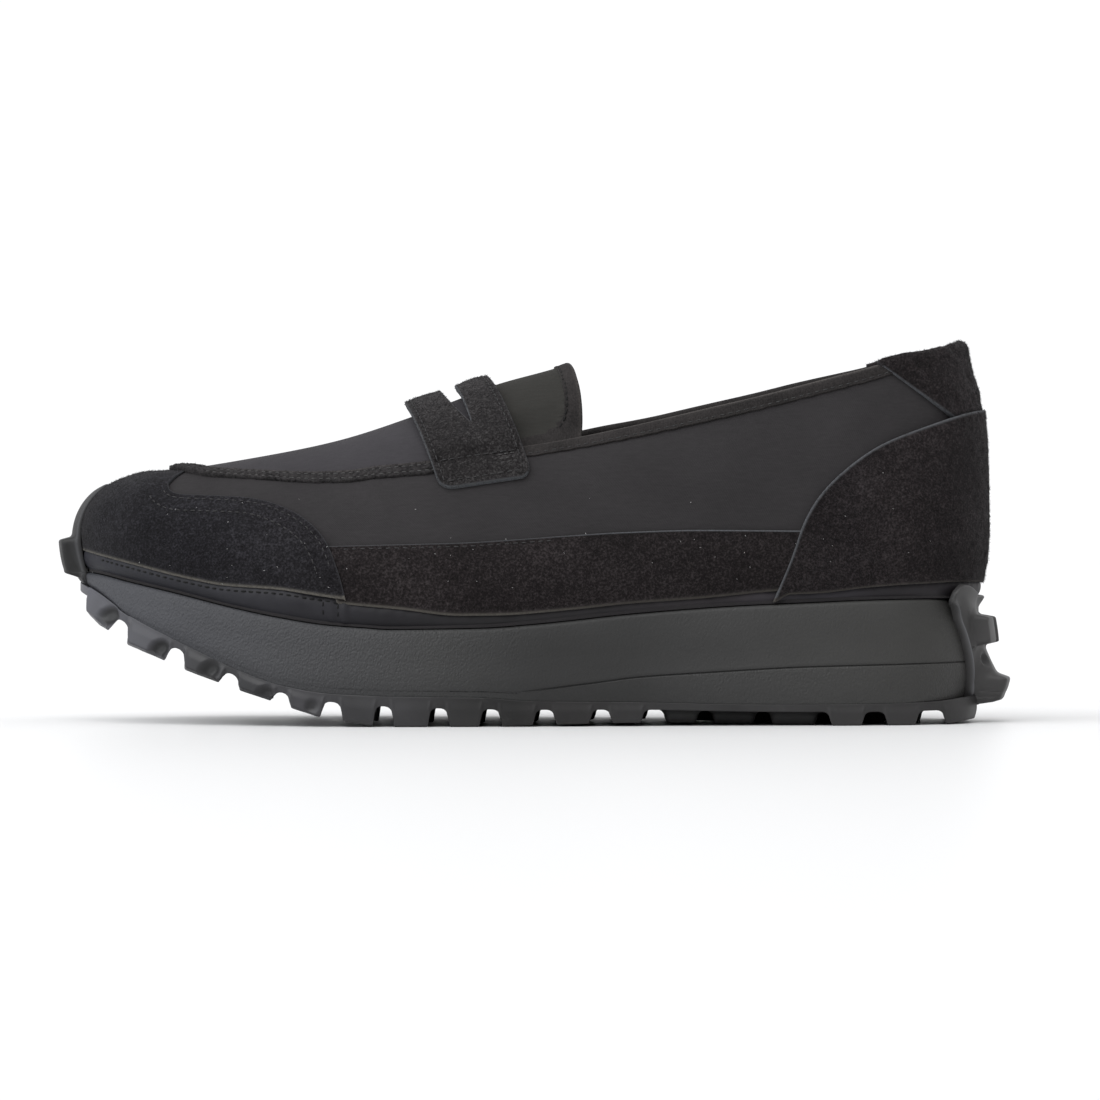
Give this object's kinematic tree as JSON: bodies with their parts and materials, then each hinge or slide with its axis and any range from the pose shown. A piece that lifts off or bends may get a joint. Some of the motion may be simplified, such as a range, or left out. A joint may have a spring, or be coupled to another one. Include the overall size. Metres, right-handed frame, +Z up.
{
  "type": "loafer sneaker",
  "caption": "Left slip-on loafer sneaker: hollow nylon upper with suede toe cap, penny strap, heel counter and tab, on a thick foam midsole and lugged rubber outsole that wraps toe and heel.",
  "frame": {"origin": "on the floor, under the middle of the shoe's bounding box", "axes": "+X from toe to heel, +Y from the lateral to the medial side, +Z up from the floor"},
  "size_m": [0.2856, 0.1, 0.1134],
  "materials": {
    "rubber": "matte moulded rubber",
    "foam": "matte moulded foam, fine leather grain toward the toe",
    "sock_cloth": "matte woven sock lining",
    "nylon": "close-woven nylon, low sheen",
    "tongue_nylon": "close-woven nylon, low sheen",
    "toe_suede": "napped suede",
    "strip_suede_lateral": "napped suede",
    "strip_suede_medial": "napped suede",
    "counter_suede": "napped suede",
    "tab_suede": "napped suede",
    "strap_suede": "napped suede"
  },
  "bodies": {
    "root": {"outsole": "rubber", "midsole": "foam", "insole": "sock_cloth", "upper": "nylon", "tongue": "tongue_nylon", "toe_cap": "toe_suede", "side_strip_lateral": "strip_suede_lateral", "side_strip_medial": "strip_suede_medial", "heel_counter": "counter_suede", "heel_tab": "tab_suede", "saddle_strap": "strap_suede"}
  },
  "joints": []
}
